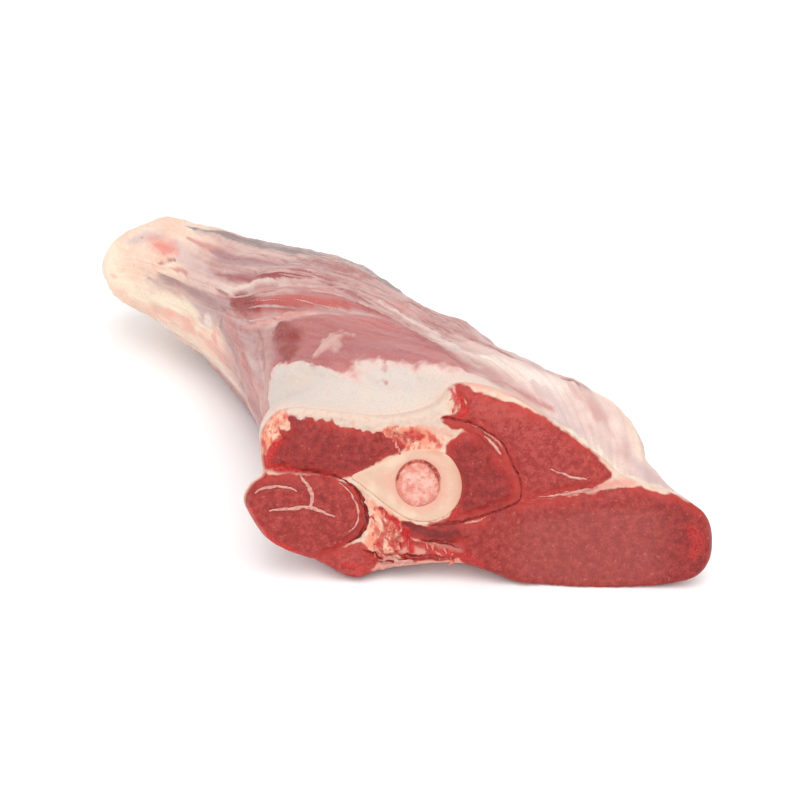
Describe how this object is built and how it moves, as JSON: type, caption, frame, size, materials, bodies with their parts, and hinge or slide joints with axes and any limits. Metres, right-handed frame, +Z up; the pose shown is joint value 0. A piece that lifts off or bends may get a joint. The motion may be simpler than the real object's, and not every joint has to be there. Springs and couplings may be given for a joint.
{
  "type": "raw lamb shank",
  "caption": "Raw lamb shank on the bone, thick and sawn across at the knee end, tapering to sinew and a bare knuckle at the hock.",
  "frame": {"origin": "middle of the bounding box on the surface that the shank lies on", "axes": "+Y along the shin bone from the saw cut to the hock, +X towards the heel muscle, +Z up"},
  "size_m": [0.1062, 0.221, 0.0558],
  "materials": {
    "flesh": "raw lean lamb under pale silverskin and fat, moist, deep red where it is sawn",
    "bone": "fresh cream bone, sawn smooth at the cut, gristle at the hock",
    "marrow": "soft pink marrow with darker blood at its edge"
  },
  "bodies": {
    "root": {"flesh": "flesh", "shin_bone": "bone", "marrow": "marrow"}
  },
  "joints": []
}
